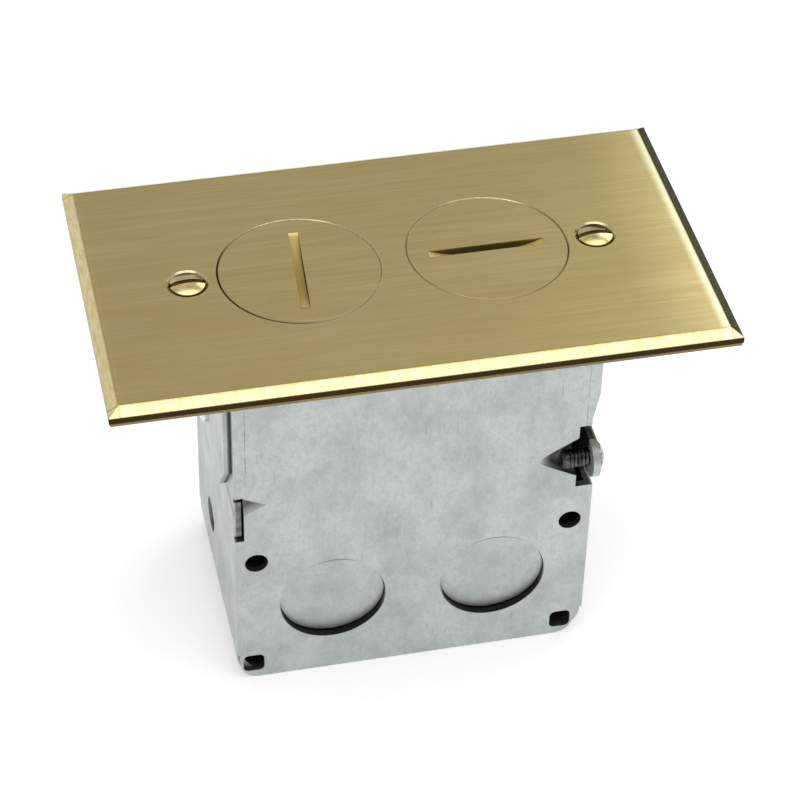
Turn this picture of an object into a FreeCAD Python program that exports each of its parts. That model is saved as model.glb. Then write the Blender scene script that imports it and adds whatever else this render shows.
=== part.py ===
"""Floor socket box: a brass cover with two screw plugs over a duplex receptacle in a gangable steel box.

Millimetres. The origin is at the middle of the box's underside, X runs along the long side of the
cover, Y to the back and Z up. Each function returns one named piece, and main() writes every piece
to parts/NODE.step.
"""
import FreeCAD, Part
import math
import os
from FreeCAD import Vector

# Cover plate
PLATE_LENGTH = 124.5
PLATE_WIDTH = 70.7
PLATE_THICKNESS = 2.6
BEVEL_WIDTH = 2.2
BEVEL_DROP = 1.3
EDGE_ROUNDING = 0.25
GASKET_THICKNESS = 0.8
GASKET_INSET = 0.2
GASKET_SEAT = 0.6

# Screw plugs and their sockets in the cover
OUTLET_SPACING = 38.4
PLUG_HEAD_RADIUS = 16.3
PLUG_HEAD_THICKNESS = 1.3
PLUG_LENGTH = 6.0
PLUG_THREAD_RADIUS = 15.0
PLUG_THREAD_PITCH = 1.5
PLUG_THREAD_DEPTH = 0.6
PLUG_EDGE_CHAMFER = 0.15
SEAL_THICKNESS = 0.6
SOCKET_WALL = 1.4
COIN_SLOT_LENGTH = 24.0
COIN_SLOT_DEPTH = 2.4
COIN_SLOT_WIDTH = 2.0
COIN_SLOT_ANGLES = {"left": 85.4, "right": 0.0}
PLUG_CLEARANCE = 0.08

# Cover screws (number 6) and the ears that they reach
COVER_SCREW_SPACING = 83.34
COVER_SCREW_RADIUS = 1.75
COVER_SCREW_HEAD_RADIUS = 3.5
COVER_SCREW_HEAD_DEPTH = 2.0
COVER_SCREW_DOME = 0.7
COVER_SCREW_SLOT_WIDTH = 1.1
COVER_SCREW_SLOT_DEPTH = 1.3
COVER_SCREW_LENGTH = 21.0
COUNTERSINK_CLEARANCE = 0.7
COVER_BOSS_RADIUS = 4.0
SCREW_THREAD_PITCH = 0.8
SCREW_TIP_LENGTH = 0.6
SCREW_THREAD_DEPTH = 0.28
SCREW_CLEARANCE = 0.06
PAN_HEAD_DOME = 0.65
HOLE_CLEARANCE = 0.2

# Steel box
BOX_LENGTH = 74.8
BOX_WIDTH = 50.2
BOX_DEPTH = 85.2
SHEET = 1.5
BEND_RADIUS = 5.0
PANEL_STEP_HEIGHT = 7.0
PANEL_STEPS = {"left": 0.4, "right": 1.8}
PANEL_CORNER_RADIUS = 4.3
PANEL_TAPER = 1.2
PANEL_TAPER_TOP = 68.0
PANEL_TAPER_BASE = 61.5
KNOCKOUT_RADIUS = 11.1
KNOCKOUT_SPACING = 34.2
KNOCKOUT_HEIGHT = 20.5
KNOCKOUT_GAP = 0.15
KNOCKOUT_TILT = 4.6
NAIL_HOLE_RADIUS = 2.4
NAIL_HOLE_SPACING = 66.2
NAIL_HOLE_HEIGHT = 33.7
END_HOLE_RADIUS = 3.9
END_HOLE_HEIGHT = 17.1
END_HOLE_OFFSET = 8.0
CORNER_SLOT_LENGTH = 4.5
CORNER_SLOT_HEIGHT = 4.6
CORNER_SLOT_EDGE = 0.7
CORNER_SLOT_BASE = 1.9
CORNER_SLOT_RADIUS = 1.2

# Gang screws (number 8), their pockets and the lugs of the end walls
GANG_SCREW_RADIUS = 2.0
GANG_SCREW_HEAD_RADIUS = 3.0
GANG_SCREW_HEAD_HEIGHT = 1.7
GANG_SCREW_LENGTH = 7.2
GANG_SCREW_HEIGHT = 51.4
GANG_LUG_RADIUS = 4.4
NOTCH_DEPTH = 3.7
NOTCH_HALF_HEIGHT = 8.3
NOTCH_RELIEF = 4.1
NOTCH_EDGE_OVERLAP = 0.5
POCKET_HALF_HEIGHT = 5.2
POCKET_LENGTH = 7.9
POCKET_AXIS_OFFSET = 1.0
LOCK_NOTCH_DEPTH = 1.9
LOCK_NOTCH_TOP = 52.4
LOCK_NOTCH_BASE = 40.4
LOCK_POCKET_TOP = 52.1
LOCK_POCKET_BASE = 47.6
LOCK_POCKET_LENGTH = 4.6
LOCK_POCKET_HEIGHT = 49.9
LOCK_POCKET_DEPTH = 2.2
LOCK_POCKET_LIP = 0.6
LOCK_LUG_TOP_GAP = 1.8
LOCK_LUG_GAP = 0.7
LOCK_LUG_RECESS = 1.0

# Ear brackets on the end walls
EAR_WIDTH = 16.0
EAR_REACH = 9.0
BRACKET_FRONT_REACH = 22.6
BRACKET_BACK_REACH = 16.0
BRACKET_FOOT_TAPER = 7.2
BRACKET_SEAM = 1.2
BRACKET_SHOULDER_HEIGHT = 57.5
BRACKET_FOOT_HEIGHT = 48.2
BRACKET_SLOT_LENGTH = 9.0
BRACKET_SCREW_HEIGHT = 56.0
BRACKET_SCREW_RADIUS = 2.0
BRACKET_SCREW_HEAD_RADIUS = 3.4
BRACKET_SCREW_HEAD_HEIGHT = 2.0
BRACKET_SCREW_LENGTH = 4.8

# Ground screw in the right end wall
GROUND_SCREW_RADIUS = 2.4
GROUND_SCREW_HEAD_RADIUS = 4.6
GROUND_SCREW_HEAD_HEIGHT = 2.4
GROUND_SCREW_LENGTH = 6.0
GROUND_SCREW_HEIGHT = 28.0
GROUND_SCREW_OFFSET = -9.0

# Duplex receptacle
FACE_DROP = 6.7
FACE_RADIUS = 16.4
FACE_FLAT = 14.2
FACE_HEIGHT = 5.5
FLANGE_THICKNESS = 2.2
RECEPTACLE_LENGTH = 66.4
RECEPTACLE_WIDTH = 32.6
RECEPTACLE_DEPTH = 21.0
YOKE_THICKNESS = 1.2
YOKE_WIDTH = 22.0
YOKE_SLOT_LENGTH = 6.0
YOKE_WINDOW_LENGTH = 25.0
YOKE_WINDOW_WIDTH = 17.2
YOKE_CLEARANCE = 0.1
BLADE_SPACING = 12.7
BLADE_OFFSET = 4.0
GROUND_PIN_DISTANCE = 11.9
BLADE_SLOT_WIDTH = 2.0
HOT_SLOT_LENGTH = 7.3
NEUTRAL_SLOT_LENGTH = 8.8
GROUND_HOLE_RADIUS = 2.6
CONTACT_SHEET = 0.8
CONTACT_GAP = 1.5
CONTACT_HEIGHT = 9.0
CONTACT_BAR_WIDTH = 5.0
CONTACT_BAR_LENGTH = 56.0
CONTACT_FLOOR = 4.0
CONTACT_CLEARANCE = 0.25
GROUND_TUBE_RADIUS = 2.75
TERMINAL_SPACING = 19.0
TERMINAL_PLATE_SIZE = 8.0
TERMINAL_SCREW_RADIUS = 1.9
TERMINAL_SCREW_HEAD_RADIUS = 3.9
TERMINAL_SCREW_HEAD_HEIGHT = 2.0
TERMINAL_SCREW_LENGTH = 5.0
RIVET_RADIUS = 1.5
RIVET_HEAD_RADIUS = 2.5
RIVET_HEAD_HEIGHT = 0.7
RIVET_OFFSET = 13.3

# Levels and places worked out from the sizes above
GASKET_TOP = BOX_DEPTH + GASKET_THICKNESS
PLATE_TOP = GASKET_TOP + PLATE_THICKNESS
PLUG_BOTTOM = PLATE_TOP - PLUG_LENGTH
PLUG_HEAD_BASE = PLATE_TOP - PLUG_HEAD_THICKNESS
SEAL_SEAT = PLUG_HEAD_BASE - SEAL_THICKNESS
SOCKET_RADIUS = PLUG_THREAD_RADIUS + PLUG_CLEARANCE
FACE_TOP = PLATE_TOP - FACE_DROP
YOKE_TOP = FACE_TOP - FACE_HEIGHT
YOKE_BASE = YOKE_TOP - YOKE_THICKNESS
RECEPTACLE_BASE = YOKE_TOP - RECEPTACLE_DEPTH
HALF_LENGTH = BOX_LENGTH / 2
HALF_WIDTH = BOX_WIDTH / 2
INNER_LENGTH = HALF_LENGTH - SHEET
INNER_WIDTH = HALF_WIDTH - SHEET
NOTCH_X = HALF_LENGTH - NOTCH_DEPTH
LOCK_NOTCH_X = HALF_LENGTH - LOCK_NOTCH_DEPTH
SIDES = {"left": -1, "right": 1}
UP = Vector(0, 0, 1)
ALONG_X = Vector(1, 0, 0)
ALONG_Y = Vector(0, 1, 0)


def block(x0, x1, y0, y1, z0, z1):
    """A box between two corners."""
    return Part.makeBox(x1 - x0, y1 - y0, z1 - z0, Vector(x0, y0, z0))


def rod(radius, start, axis, length):
    """A cylinder from start along axis."""
    return Part.makeCylinder(radius, length, start, axis)


def prism(points, extrusion):
    """A closed outline of points, extruded along a vector."""
    corners = [Vector(*point) for point in points]
    return Part.Face(Part.makePolygon(corners + corners[:1])).extrude(extrusion)


def stadium(centre, length, radius, along, extrusion):
    """A slot-shaped block: length over its round ends, running along a unit vector."""
    reach = along * (length / 2 - radius)
    side = extrusion.cross(along).normalize() * radius
    ends = [centre - reach, centre + reach]
    edges = [
        Part.LineSegment(ends[0] + side, ends[1] + side).toShape(),
        Part.Arc(ends[1] + side, ends[1] + along * radius, ends[1] - side).toShape(),
        Part.LineSegment(ends[1] - side, ends[0] - side).toShape(),
        Part.Arc(ends[0] - side, ends[0] - along * radius, ends[0] + side).toShape(),
    ]
    return Part.Face(Part.Wire(edges)).extrude(extrusion)


def turned(profile, place, axis=UP):
    """A solid of revolution from (radius, height) points about an axis through place."""
    outline = Part.makePolygon([Vector(r, 0, z) for r, z in profile + profile[:1]])
    solid = Part.Face(outline).revolve(Vector(0, 0, 0), UP, 360)
    solid.Placement = FreeCAD.Placement(place, FreeCAD.Rotation(UP, axis))
    return solid


def thread_profile(radius, start, end, pitch, depth):
    """Points down a threaded shank, from height start to the lower height end."""
    points = [(radius, start)]
    count = int((start - end) / pitch)
    for turn in range(count):
        top = start - turn * pitch
        points += [(radius, top - 0.2 * pitch), (radius - depth, top - 0.6 * pitch), (radius, top - pitch)]
    return points


def outside_dome(radius, height, top):
    """What is cut from a flat-topped head about the Z axis to leave a dome of that radius and height."""
    ball_radius = (radius ** 2 + height ** 2) / (2 * height)
    ball = Part.makeSphere(ball_radius, UP * (top - ball_radius))
    return rod(radius + 1, UP * (top - height), UP, height + 1).cut(ball)


def machine_screw(radius, length, head_radius, head_height, place, axis, slot_width=1.0):
    """A slotted pan-head screw whose head sits on place, with its shank against axis."""
    tip = radius - 2 * SCREW_THREAD_DEPTH
    shank = thread_profile(radius, -0.3, -(length - 1.0), SCREW_THREAD_PITCH, SCREW_THREAD_DEPTH)
    profile = [(0, head_height), (head_radius, head_height), (head_radius, 0), (radius, 0)] + shank
    profile += [(radius, -(length - SCREW_TIP_LENGTH)), (tip, -length), (0, -length)]
    slot = block(-head_radius, head_radius, -slot_width / 2, slot_width / 2, head_height * 0.5, head_height + 1)
    dome = outside_dome(head_radius, head_height * PAN_HEAD_DOME, head_height)
    screw = turned(profile, Vector(0, 0, 0)).cut([dome, slot])
    screw.Placement = FreeCAD.Placement(place, FreeCAD.Rotation(UP, axis))
    return screw


def joined(shapes):
    """One solid from shapes that share faces or overlap."""
    return shapes[0].multiFuse(shapes[1:]).removeSplitter()


def half_turn(shape):
    """A copy turned half a turn about Z: the box is the same after half a turn."""
    copy = shape.copy()
    copy.rotate(Vector(0, 0, 0), UP, 180)
    return copy


def mirrored(shape, side):
    """The shape itself on the right, and its mirror image in X on the left."""
    return shape if side > 0 else shape.mirror(Vector(0, 0, 0), ALONG_X)


def outlet_centres():
    """The middle of each outlet, left first."""
    return [Vector(side * OUTLET_SPACING / 2, 0, 0) for side in SIDES.values()]


# ---------------------------------------------------------------- cover


def plate_section(half_span):
    """The plate's section across one of its spans: points of distance from the middle and height."""
    shoulder = PLATE_TOP - BEVEL_DROP
    crest = half_span - BEVEL_WIDTH
    return [(-half_span, GASKET_TOP), (half_span, GASKET_TOP), (half_span, shoulder),
            (crest, PLATE_TOP), (-crest, PLATE_TOP), (-half_span, shoulder)]


def cover_plate():
    """The brass plate: bevelled rim, two threaded sockets and two countersunk screw bosses."""
    x, y = PLATE_LENGTH / 2, PLATE_WIDTH / 2
    lengthways = prism([(across, -y, z) for across, z in plate_section(x)], ALONG_Y * PLATE_WIDTH)
    crossways = prism([(-x, across, z) for across, z in plate_section(y)], ALONG_X * PLATE_LENGTH)
    blank = lengthways.common(crossways)
    ridges = [edge for edge in blank.Edges if edge.CenterOfMass.z > PLATE_TOP - BEVEL_DROP - 1e-6]
    solids = [blank.makeFillet(EDGE_ROUNDING, ridges)]
    cuts = []
    for centre in outlet_centres():
        foot = centre + UP * PLUG_BOTTOM
        solids.append(rod(SOCKET_RADIUS + SOCKET_WALL, foot, UP, GASKET_TOP - PLUG_BOTTOM))
        cuts.append(rod(SOCKET_RADIUS, foot, UP, PLUG_LENGTH + 1))
        recess_radius = PLUG_HEAD_RADIUS + PLUG_CLEARANCE
        edge = [
            (0, SEAL_SEAT),
            (recess_radius, SEAL_SEAT),
            (recess_radius, PLATE_TOP - PLUG_EDGE_CHAMFER),
            (recess_radius + PLUG_EDGE_CHAMFER, PLATE_TOP),
            (recess_radius + PLUG_EDGE_CHAMFER, PLATE_TOP + 1),
            (0, PLATE_TOP + 1),
        ]
        cuts.append(turned(edge, centre))
    for side in SIDES.values():
        centre = Vector(side * COVER_SCREW_SPACING / 2, 0, 0)
        solids.append(rod(COVER_BOSS_RADIUS, centre + UP * YOKE_TOP, UP, GASKET_TOP - YOKE_TOP))
        hole = COVER_SCREW_RADIUS + HOLE_CLEARANCE
        mouth = COVER_SCREW_HEAD_RADIUS + COUNTERSINK_CLEARANCE
        sink = [
            (0, YOKE_TOP - 1),
            (hole, YOKE_TOP - 1),
            (hole, PLATE_TOP - COVER_SCREW_HEAD_DEPTH),
            (mouth, PLATE_TOP),
            (mouth, PLATE_TOP + 1),
            (0, PLATE_TOP + 1),
        ]
        cuts.append(turned(sink, centre))
    return joined(solids).cut(cuts)


def cover_gasket():
    """The flat seal between the cover and the floor, open over the box and around the screw bosses."""
    x = PLATE_LENGTH / 2 - GASKET_INSET
    y = PLATE_WIDTH / 2 - GASKET_INSET
    sheet = block(-x, x, -y, y, BOX_DEPTH, GASKET_TOP)
    socket_reach = OUTLET_SPACING / 2 + SOCKET_RADIUS + SOCKET_WALL
    open_x = max(INNER_LENGTH - 0.1, socket_reach + 0.1)
    open_y = INNER_WIDTH - GASKET_SEAT
    cuts = [block(-open_x, open_x, -open_y, open_y, BOX_DEPTH - 1, GASKET_TOP + 1)]
    for side in SIDES.values():
        centre = Vector(side * COVER_SCREW_SPACING / 2, 0, BOX_DEPTH - 1)
        cuts.append(rod(COVER_BOSS_RADIUS + HOLE_CLEARANCE, centre, UP, GASKET_THICKNESS + 2))
    return sheet.cut(cuts)


def screw_plug(side_name):
    """A threaded brass plug, flush with the cover, with a coin slot cut by a round cutter."""
    groove_start = SEAL_SEAT
    threads = thread_profile(
        PLUG_THREAD_RADIUS, groove_start, PLUG_BOTTOM + 0.3, PLUG_THREAD_PITCH, PLUG_THREAD_DEPTH)
    profile = [
        (0, PLATE_TOP),
        (PLUG_HEAD_RADIUS - PLUG_EDGE_CHAMFER, PLATE_TOP),
        (PLUG_HEAD_RADIUS, PLATE_TOP - PLUG_EDGE_CHAMFER),
        (PLUG_HEAD_RADIUS, PLUG_HEAD_BASE),
        (PLUG_THREAD_RADIUS, PLUG_HEAD_BASE),
    ] + threads + [(PLUG_THREAD_RADIUS, PLUG_BOTTOM + 0.3), (PLUG_THREAD_RADIUS - 0.3, PLUG_BOTTOM), (0, PLUG_BOTTOM)]
    centre = Vector(SIDES[side_name] * OUTLET_SPACING / 2, 0, 0)
    plug = turned(profile, centre)
    half_slot = COIN_SLOT_LENGTH / 2
    cutter_radius = (half_slot ** 2 + COIN_SLOT_DEPTH ** 2) / (2 * COIN_SLOT_DEPTH)
    cutter = Part.makeCylinder(
        cutter_radius, COIN_SLOT_WIDTH,
        centre + Vector(0, -COIN_SLOT_WIDTH / 2, PLATE_TOP - COIN_SLOT_DEPTH + cutter_radius), ALONG_Y)
    cutter.rotate(centre, UP, COIN_SLOT_ANGLES[side_name])
    return plug.cut(cutter)


def plug_seal(side_name):
    """The rubber washer under a plug's head."""
    seat = Vector(SIDES[side_name] * OUTLET_SPACING / 2, 0, SEAL_SEAT)
    outer = rod(PLUG_HEAD_RADIUS - PLUG_CLEARANCE, seat, UP, SEAL_THICKNESS)
    return outer.cut(rod(PLUG_THREAD_RADIUS + 2 * PLUG_CLEARANCE, seat, UP, SEAL_THICKNESS))


def cover_screw(side_name):
    """An oval-head slotted screw from the cover to the tapped ear."""
    tip = COVER_SCREW_RADIUS - 2 * SCREW_THREAD_DEPTH
    end = PLATE_TOP - COVER_SCREW_LENGTH
    shank = thread_profile(COVER_SCREW_RADIUS, YOKE_BASE, end + 1.0, SCREW_THREAD_PITCH, SCREW_THREAD_DEPTH)
    head = COVER_SCREW_HEAD_RADIUS
    crest = PLATE_TOP + COVER_SCREW_DOME
    profile = [
        (0, crest),
        (head, crest),
        (head, PLATE_TOP - 0.25),
        (COVER_SCREW_RADIUS, PLATE_TOP - COVER_SCREW_HEAD_DEPTH),
    ] + shank + [(COVER_SCREW_RADIUS, end + SCREW_TIP_LENGTH), (tip, end), (0, end)]
    half_width = COVER_SCREW_SLOT_WIDTH / 2
    slot = block(-head - 1, head + 1, -half_width, half_width, crest - COVER_SCREW_SLOT_DEPTH, crest + 1)
    screw = turned(profile, Vector(0, 0, 0)).cut([outside_dome(head, COVER_SCREW_DOME, crest), slot])
    screw.translate(Vector(SIDES[side_name] * COVER_SCREW_SPACING / 2, 0, 0))
    return screw


# ---------------------------------------------------------------- steel box


def end_wall_lugs():
    """The right end wall's lugs: the tapped one at the front and the locking one at the back."""
    lugs = [
        rod(GANG_LUG_RADIUS, Vector(INNER_LENGTH, -HALF_WIDTH, GANG_SCREW_HEIGHT), ALONG_X, SHEET),
        block(INNER_LENGTH, HALF_LENGTH, -HALF_WIDTH, -INNER_WIDTH,
              GANG_SCREW_HEIGHT - GANG_LUG_RADIUS, GANG_SCREW_HEIGHT + GANG_LUG_RADIUS),
        block(INNER_LENGTH, HALF_LENGTH, INNER_WIDTH, HALF_WIDTH - LOCK_LUG_RECESS,
              LOCK_NOTCH_BASE + LOCK_LUG_GAP, LOCK_NOTCH_TOP - LOCK_LUG_TOP_GAP),
    ]
    # the tapped lug stays in front of the wall, where the pocket of the front panel ends
    inboard = block(INNER_LENGTH - 1, HALF_LENGTH + 1, -INNER_WIDTH, 0, 0, BOX_DEPTH)
    return [lugs[0].cut(inboard)] + lugs[1:]


def end_wall_relief():
    """What is cut from the right end wall's front edge: above and below the tapped lug's neck."""
    across = (INNER_LENGTH - 1, HALF_LENGTH + 1, -INNER_WIDTH - 1, -INNER_WIDTH + NOTCH_RELIEF)
    top = GANG_SCREW_HEIGHT + NOTCH_HALF_HEIGHT
    base = GANG_SCREW_HEIGHT - NOTCH_HALF_HEIGHT
    neck = GANG_LUG_RADIUS
    return [
        block(*across, base, GANG_SCREW_HEIGHT - neck),
        block(*across, GANG_SCREW_HEIGHT + neck, top),
        edge_taper(),
    ]


def edge_taper():
    """What is cut from the right edge of the front panel, and of the wall behind it, above the notch."""
    front = -HALF_WIDTH - 1
    base = GANG_SCREW_HEIGHT + NOTCH_HALF_HEIGHT - NOTCH_EDGE_OVERLAP
    return prism([
        (HALF_LENGTH, front, PANEL_TAPER_TOP),
        (HALF_LENGTH + 1, front, PANEL_TAPER_TOP),
        (HALF_LENGTH + 1, front, base),
        (HALF_LENGTH - PANEL_TAPER, front, base),
        (HALF_LENGTH - PANEL_TAPER, front, PANEL_TAPER_BASE),
    ], ALONG_Y * (SHEET + 1 + NOTCH_RELIEF))


def box_body():
    """The folded body: bottom and two end walls in one sheet, with lugs, holes and yoke notches."""
    outer = block(-HALF_LENGTH, HALF_LENGTH, -INNER_WIDTH, INNER_WIDTH, 0, BOX_DEPTH)
    bends = [edge for edge in outer.Edges
             if abs(edge.CenterOfMass.z) < 1e-6 and abs(abs(edge.CenterOfMass.x) - HALF_LENGTH) < 1e-6]
    outer = outer.makeFillet(BEND_RADIUS, bends)
    inner = block(-INNER_LENGTH, INNER_LENGTH, -HALF_WIDTH, HALF_WIDTH, SHEET, BOX_DEPTH + 1)
    folds = [edge for edge in inner.Edges
             if abs(edge.CenterOfMass.z - SHEET) < 1e-6 and abs(abs(edge.CenterOfMass.x) - INNER_LENGTH) < 1e-6]
    inner = inner.makeFillet(BEND_RADIUS - SHEET, folds)
    lugs = end_wall_lugs()
    body = joined([outer.cut(inner)] + lugs + [half_turn(lug) for lug in lugs])
    notch = YOKE_WIDTH / 2 + 0.5
    screw_hole = rod(GANG_SCREW_RADIUS + SCREW_CLEARANCE,
                     Vector(INNER_LENGTH - 1, -HALF_WIDTH, GANG_SCREW_HEIGHT), ALONG_X, SHEET + 2)
    # the pocket of the front panel and the screw in it reach through the wall's front edge
    pocket_gap = block(INNER_LENGTH - 5, INNER_LENGTH, -HALF_WIDTH, -INNER_WIDTH, 0, BOX_DEPTH)
    # a seam stays open between the bracket's front edge and the panel
    seam = block(-HALF_LENGTH - 1, -INNER_LENGTH + 1, -INNER_WIDTH - 1, -INNER_WIDTH + BRACKET_SEAM,
                 BRACKET_SHOULDER_HEIGHT, BOX_DEPTH + 1)
    relief = end_wall_relief() + [seam]
    cuts = relief + [half_turn(cut) for cut in relief] + [
        block(-HALF_LENGTH - 1, HALF_LENGTH + 1, -notch, notch, YOKE_BASE, BOX_DEPTH + 1),
        screw_hole,
        half_turn(screw_hole),
        pocket_gap,
        half_turn(pocket_gap),
        rod(GROUND_SCREW_RADIUS + SCREW_CLEARANCE,
            Vector(INNER_LENGTH - 1, GROUND_SCREW_OFFSET, GROUND_SCREW_HEIGHT), ALONG_X, SHEET + 2),
    ]
    for side in SIDES.values():
        start = side * (HALF_LENGTH + 1)
        inward = ALONG_X * -side
        cuts.append(rod(END_HOLE_RADIUS, Vector(start, END_HOLE_OFFSET, END_HOLE_HEIGHT), inward, SHEET + 2))
        cuts.append(rod(BRACKET_SCREW_RADIUS + SCREW_CLEARANCE,
                        Vector(start, 0, BRACKET_SCREW_HEIGHT), inward, SHEET + 2))
        cuts.append(rod(KNOCKOUT_RADIUS, Vector(side * KNOCKOUT_SPACING / 2, 0, -1), UP, SHEET + 2))
    return body.cut(cuts)


def panel_outline():
    """The front panel's outline in X and Z, with stepped and rounded lower corners."""
    radius = PANEL_CORNER_RADIUS
    lean = radius * (1 - math.sqrt(0.5))
    corners = {}
    for name, side in SIDES.items():
        foot = HALF_LENGTH - PANEL_STEPS[name]
        points = [
            (foot - radius, 0),
            (foot - lean, lean),
            (foot, radius),
            (foot, PANEL_STEP_HEIGHT),
            (HALF_LENGTH, PANEL_STEP_HEIGHT),
            (HALF_LENGTH, BOX_DEPTH),
        ]
        corners[name] = [Vector(side * x, -HALF_WIDTH, z) for x, z in points]
    left, right = corners["left"], corners["right"]
    edges = [
        Part.LineSegment(left[0], right[0]).toShape(),
        Part.Arc(*right[:3]).toShape(),
        Part.makePolygon(right[2:]),
        Part.LineSegment(right[5], left[5]).toShape(),
        Part.makePolygon(left[2:][::-1]),
        Part.Arc(*left[:3][::-1]).toShape(),
    ]
    parts = [edge for shape in edges for edge in shape.Edges]
    return Part.Face(Part.Wire(parts))


def pocket_cone(end_x, height, half_height, length, axis_offset, growth):
    """A cone whose inner side is a pocket in the front panel, deepest at end_x."""
    end_radius = math.hypot(half_height, axis_offset)
    slope = (end_radius - axis_offset) / length
    tip_reach = axis_offset / slope
    total = length + tip_reach
    direction = 1 if end_x > 0 else -1
    start = Vector(end_x - direction * total, -HALF_WIDTH - axis_offset, height)
    return Part.makeCone(growth, end_radius + growth, total, start, ALONG_X * direction)


def lock_pocket():
    """A three-sided dent beside the lock notch, deepest at the notch and ending in a point."""
    deepest = Vector(-LOCK_NOTCH_X, -HALF_WIDTH + LOCK_POCKET_DEPTH, LOCK_POCKET_TOP - LOCK_POCKET_LIP)
    rim = [
        Vector(-LOCK_NOTCH_X, -HALF_WIDTH, LOCK_POCKET_TOP),
        Vector(-LOCK_NOTCH_X, -HALF_WIDTH, LOCK_POCKET_BASE),
        Vector(LOCK_POCKET_LENGTH - LOCK_NOTCH_X, -HALF_WIDTH, LOCK_POCKET_HEIGHT),
    ]
    triangles = [rim] + [[rim[i], rim[(i + 1) % 3], deepest] for i in range(3)]
    faces = [Part.Face(Part.makePolygon(corners + corners[:1])) for corners in triangles]
    return Part.Solid(Part.Shell(faces))


def side_panel():
    """The removable front panel: pockets at both ends, knockout openings, nail holes, corner slots."""
    panel = panel_outline().extrude(ALONG_Y * SHEET)
    gang_pocket = (NOTCH_X, GANG_SCREW_HEIGHT, POCKET_HALF_HEIGHT, POCKET_LENGTH, POCKET_AXIS_OFFSET)
    behind = block(-HALF_LENGTH, HALF_LENGTH, -HALF_WIDTH, HALF_WIDTH, 0, BOX_DEPTH)
    dent = lock_pocket()
    backing = dent.copy()
    backing.translate(ALONG_Y * SHEET)
    panel = joined([panel, pocket_cone(*gang_pocket, SHEET).common(behind), backing])
    cuts = [pocket_cone(*gang_pocket, 0), dent]
    cuts += [
        block(NOTCH_X, HALF_LENGTH + 1, -HALF_WIDTH - 1, HALF_WIDTH,
              GANG_SCREW_HEIGHT - NOTCH_HALF_HEIGHT, GANG_SCREW_HEIGHT + NOTCH_HALF_HEIGHT),
        block(-HALF_LENGTH - 1, -LOCK_NOTCH_X, -HALF_WIDTH - 1, HALF_WIDTH,
              LOCK_NOTCH_BASE, LOCK_NOTCH_TOP),
    ]
    cuts.append(edge_taper())
    front = -HALF_WIDTH - 1
    for name, side in SIDES.items():
        cuts.append(rod(KNOCKOUT_RADIUS, Vector(side * KNOCKOUT_SPACING / 2, front, KNOCKOUT_HEIGHT),
                        ALONG_Y, SHEET + 2))
        cuts.append(rod(NAIL_HOLE_RADIUS, Vector(side * NAIL_HOLE_SPACING / 2, front, NAIL_HOLE_HEIGHT),
                        ALONG_Y, SHEET + 2))
        slot_end = HALF_LENGTH - PANEL_STEPS[name] - CORNER_SLOT_EDGE
        slot = block(slot_end - CORNER_SLOT_LENGTH, slot_end, front, front + SHEET + 2,
                     CORNER_SLOT_BASE, CORNER_SLOT_BASE + CORNER_SLOT_HEIGHT)
        corners = [edge for edge in slot.Edges if abs(edge.tangentAt(0).y) > 0.9]
        cuts.append(mirrored(slot.makeFillet(CORNER_SLOT_RADIUS, corners), side))
    return panel.cut(cuts)


def knockout(hinge_point, normal, radius):
    """A punched disc of the sheet, pushed in about the point where it still holds.

    hinge_point is on the outer face at the rim of the opening, and normal points out of the box.
    """
    up = UP if abs(normal.z) < 0.5 else ALONG_Y
    centre = hinge_point - up * (radius + KNOCKOUT_GAP)
    disc = rod(radius, centre, normal * -1, SHEET)
    disc.rotate(hinge_point, up.cross(normal), KNOCKOUT_TILT)
    return disc


def knockouts_front():
    """The two discs that fill the front panel's openings."""
    discs = []
    for side in SIDES.values():
        top = Vector(side * KNOCKOUT_SPACING / 2, -HALF_WIDTH, KNOCKOUT_HEIGHT + KNOCKOUT_RADIUS)
        discs.append(knockout(top, ALONG_Y * -1, KNOCKOUT_RADIUS - KNOCKOUT_GAP))
    return Part.makeCompound(discs)


def knockouts_bottom():
    """The two discs that fill the bottom's openings."""
    discs = []
    for side in SIDES.values():
        rim = Vector(side * KNOCKOUT_SPACING / 2, KNOCKOUT_RADIUS, 0)
        discs.append(knockout(rim, UP * -1, KNOCKOUT_RADIUS - KNOCKOUT_GAP))
    return Part.makeCompound(discs)


def gang_screw():
    """The screw that clamps the front panel's pocket to the right end wall."""
    return machine_screw(GANG_SCREW_RADIUS, GANG_SCREW_LENGTH, GANG_SCREW_HEAD_RADIUS, GANG_SCREW_HEAD_HEIGHT,
                         Vector(HALF_LENGTH, -HALF_WIDTH, GANG_SCREW_HEIGHT), ALONG_X)


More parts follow.
